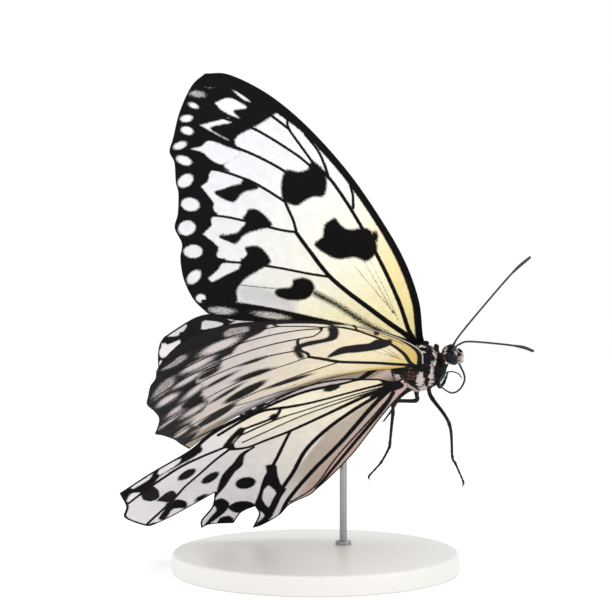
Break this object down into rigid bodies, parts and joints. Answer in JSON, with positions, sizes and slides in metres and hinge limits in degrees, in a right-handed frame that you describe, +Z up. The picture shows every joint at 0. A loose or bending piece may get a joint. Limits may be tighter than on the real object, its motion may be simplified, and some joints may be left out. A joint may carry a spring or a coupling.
{
  "type": "butterfly figure",
  "caption": "Life-size still model of a paper kite butterfly with raised black-veined cream wings, held over a plain round base by a thin rod.",
  "frame": {"origin": "centre of the flat underside of the stand's base", "axes": "+Z up, square to the base; +X to the right as the butterfly is seen from the front with its head on the right; +Y away from that viewer"},
  "size_m": [0.0841, 0.1004, 0.1017],
  "materials": {
    "black_cuticle": "matt black scales and fine hair",
    "eye": "smooth, slightly glossy",
    "palp": "matt pale hair with a dark tip",
    "pale_abdomen": "matt pale scales with dark bands",
    "wing_membrane": "satin scales, cream with black veins and spots",
    "base_lacquer": "white satin lacquer",
    "rod_steel": "brushed"
  },
  "bodies": {
    "root": {"abdomen": "pale_abdomen", "antenna_left": "black_cuticle", "antenna_right": "black_cuticle", "eye_left": "eye", "eye_right": "eye", "forewing_left": "wing_membrane", "forewing_right": "wing_membrane", "head": "black_cuticle", "hindwing_left": "wing_membrane", "hindwing_right": "wing_membrane", "leg_fore_left": "black_cuticle", "leg_fore_right": "black_cuticle", "leg_hind_left": "black_cuticle", "leg_hind_right": "black_cuticle", "leg_mid_left": "black_cuticle", "leg_mid_right": "black_cuticle", "palp_left": "palp", "palp_right": "palp", "proboscis": "black_cuticle", "stand_base": "base_lacquer", "stand_rod": "rod_steel", "thorax": "black_cuticle"}
  },
  "joints": []
}
